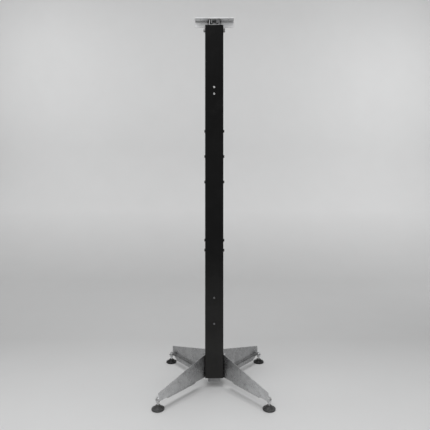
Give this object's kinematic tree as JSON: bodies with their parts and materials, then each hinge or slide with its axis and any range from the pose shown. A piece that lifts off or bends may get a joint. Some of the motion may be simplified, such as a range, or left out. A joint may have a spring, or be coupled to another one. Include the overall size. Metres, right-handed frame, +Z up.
{
  "type": "square column floor stand with levelling feet",
  "caption": "Free-standing square steel column on flared folded-sheet legs with ball-jointed levelling feet, and an angle rail across its head to carry equipment.",
  "frame": {"origin": "on the floor, under the column's vertical centre line, midway between the four feet", "axes": "+Z up along the column, -Y out of the column's front face (the face with the screws down its centre), +X to the right seen from the front"},
  "size_m": [0.547, 0.547, 1.816],
  "materials": {
    "black_powder_coat": "satin black powder coat with a very fine orange peel",
    "galvanised_sheet": "satin galvanised sheet, faintly cloudy, with bright cut edges",
    "zinc_plated": "bright zinc plating",
    "black_oxide_steel": "black oxide, slightly oily",
    "black_moulded_plastic": "moulded black nylon, semi-matt",
    "grey_rubber": "matt anti-slip rubber",
    "nylon_cup": "natural nylon"
  },
  "bodies": {
    "stand": {"column_shell": "black_powder_coat", "rear_cover": "black_powder_coat", "rear_cover_screws": "black_oxide_steel", "base_bracket_left": "galvanised_sheet", "base_bracket_right": "galvanised_sheet", "base_post": "galvanised_sheet", "bracket_bolts_front": "zinc_plated", "bracket_bolts_rear": "zinc_plated", "bracket_washers": "zinc_plated", "bracket_nuts": "zinc_plated", "base_spacer_sleeves": "zinc_plated", "lower_front_screws": "zinc_plated", "lower_front_nuts": "zinc_plated", "lower_cross_frame": "galvanised_sheet", "lower_side_bolts": "black_oxide_steel", "lower_side_nuts": "zinc_plated", "upper_cross_frame": "galvanised_sheet", "upper_side_bolts": "black_oxide_steel", "upper_side_nuts": "zinc_plated", "head_stem": "galvanised_sheet", "upper_front_screws": "zinc_plated", "upper_front_nuts": "zinc_plated", "head_rail": "galvanised_sheet", "head_rail_screws": "zinc_plated", "head_rail_nuts": "zinc_plated", "head_side_bolts": "zinc_plated", "head_side_washers": "zinc_plated", "head_spacer_sleeves": "zinc_plated", "head_side_nuts": "zinc_plated", "foot_washers": "zinc_plated"},
    "foot_screw_front_left": {"foot_screw_front_left": "zinc_plated"},
    "foot_nuts_front_left": {"adjusting_nut_front_left": "zinc_plated", "lock_nut_front_left": "zinc_plated"},
    "ball_cup_front_left": {"ball_cup_front_left": "nylon_cup"},
    "foot_pad_front_left": {"foot_pad_front_left": "black_moulded_plastic", "foot_sole_front_left": "grey_rubber"},
    "foot_screw_front_right": {"foot_screw_front_right": "zinc_plated"},
    "foot_nuts_front_right": {"adjusting_nut_front_right": "zinc_plated", "lock_nut_front_right": "zinc_plated"},
    "ball_cup_front_right": {"ball_cup_front_right": "nylon_cup"},
    "foot_pad_front_right": {"foot_pad_front_right": "black_moulded_plastic", "foot_sole_front_right": "grey_rubber"},
    "foot_screw_rear_left": {"foot_screw_rear_left": "zinc_plated"},
    "foot_nuts_rear_left": {"adjusting_nut_rear_left": "zinc_plated", "lock_nut_rear_left": "zinc_plated"},
    "ball_cup_rear_left": {"ball_cup_rear_left": "nylon_cup"},
    "foot_pad_rear_left": {"foot_pad_rear_left": "black_moulded_plastic", "foot_sole_rear_left": "grey_rubber"},
    "foot_screw_rear_right": {"foot_screw_rear_right": "zinc_plated"},
    "foot_nuts_rear_right": {"adjusting_nut_rear_right": "zinc_plated", "lock_nut_rear_right": "zinc_plated"},
    "ball_cup_rear_right": {"ball_cup_rear_right": "nylon_cup"},
    "foot_pad_rear_right": {"foot_pad_rear_right": "black_moulded_plastic", "foot_sole_rear_right": "grey_rubber"}
  },
  "joints": [
    {"name": "nut_turn_front_left", "type": "hinge", "parent": "stand", "child": "foot_nuts_front_left", "pos_m": [-0.245, -0.245, 0.046], "axis": [0, 0, 1], "range_deg": [0, 1440]},
    {"name": "foot_height_front_left", "type": "slide", "parent": "stand", "child": "foot_screw_front_left", "axis": [0, 0, 1], "range_m": [-0.006, 0]},
    {"name": "foot_tilt_x_front_left", "type": "hinge", "parent": "foot_screw_front_left", "child": "ball_cup_front_left", "pos_m": [-0.245, -0.245, 0.0125], "axis": [1, 0, 0], "range_deg": [-8, 8]},
    {"name": "foot_tilt_y_front_left", "type": "hinge", "parent": "ball_cup_front_left", "child": "foot_pad_front_left", "pos_m": [-0.245, -0.245, 0.0125], "axis": [0, 1, 0], "range_deg": [-8, 8]},
    {"name": "nut_turn_front_right", "type": "hinge", "parent": "stand", "child": "foot_nuts_front_right", "pos_m": [0.245, -0.245, 0.046], "axis": [0, 0, 1], "range_deg": [0, 1440]},
    {"name": "foot_height_front_right", "type": "slide", "parent": "stand", "child": "foot_screw_front_right", "axis": [0, 0, 1], "range_m": [-0.006, 0]},
    {"name": "foot_tilt_x_front_right", "type": "hinge", "parent": "foot_screw_front_right", "child": "ball_cup_front_right", "pos_m": [0.245, -0.245, 0.0125], "axis": [1, 0, 0], "range_deg": [-8, 8]},
    {"name": "foot_tilt_y_front_right", "type": "hinge", "parent": "ball_cup_front_right", "child": "foot_pad_front_right", "pos_m": [0.245, -0.245, 0.0125], "axis": [0, 1, 0], "range_deg": [-8, 8]},
    {"name": "nut_turn_rear_left", "type": "hinge", "parent": "stand", "child": "foot_nuts_rear_left", "pos_m": [-0.245, 0.245, 0.046], "axis": [0, 0, 1], "range_deg": [0, 1440]},
    {"name": "foot_height_rear_left", "type": "slide", "parent": "stand", "child": "foot_screw_rear_left", "axis": [0, 0, 1], "range_m": [-0.006, 0]},
    {"name": "foot_tilt_x_rear_left", "type": "hinge", "parent": "foot_screw_rear_left", "child": "ball_cup_rear_left", "pos_m": [-0.245, 0.245, 0.0125], "axis": [1, 0, 0], "range_deg": [-8, 8]},
    {"name": "foot_tilt_y_rear_left", "type": "hinge", "parent": "ball_cup_rear_left", "child": "foot_pad_rear_left", "pos_m": [-0.245, 0.245, 0.0125], "axis": [0, 1, 0], "range_deg": [-8, 8]},
    {"name": "nut_turn_rear_right", "type": "hinge", "parent": "stand", "child": "foot_nuts_rear_right", "pos_m": [0.245, 0.245, 0.046], "axis": [0, 0, 1], "range_deg": [0, 1440]},
    {"name": "foot_height_rear_right", "type": "slide", "parent": "stand", "child": "foot_screw_rear_right", "axis": [0, 0, 1], "range_m": [-0.006, 0]},
    {"name": "foot_tilt_x_rear_right", "type": "hinge", "parent": "foot_screw_rear_right", "child": "ball_cup_rear_right", "pos_m": [0.245, 0.245, 0.0125], "axis": [1, 0, 0], "range_deg": [-8, 8]},
    {"name": "foot_tilt_y_rear_right", "type": "hinge", "parent": "ball_cup_rear_right", "child": "foot_pad_rear_right", "pos_m": [0.245, 0.245, 0.0125], "axis": [0, 1, 0], "range_deg": [-8, 8]}
  ],
  "couplings": [
    {"joint": "nut_turn_front_left", "follows": "foot_height_front_left", "rad_per_m": -4188.8},
    {"joint": "nut_turn_front_right", "follows": "foot_height_front_right", "rad_per_m": -4188.8},
    {"joint": "nut_turn_rear_left", "follows": "foot_height_rear_left", "rad_per_m": -4188.8},
    {"joint": "nut_turn_rear_right", "follows": "foot_height_rear_right", "rad_per_m": -4188.8}
  ]
}
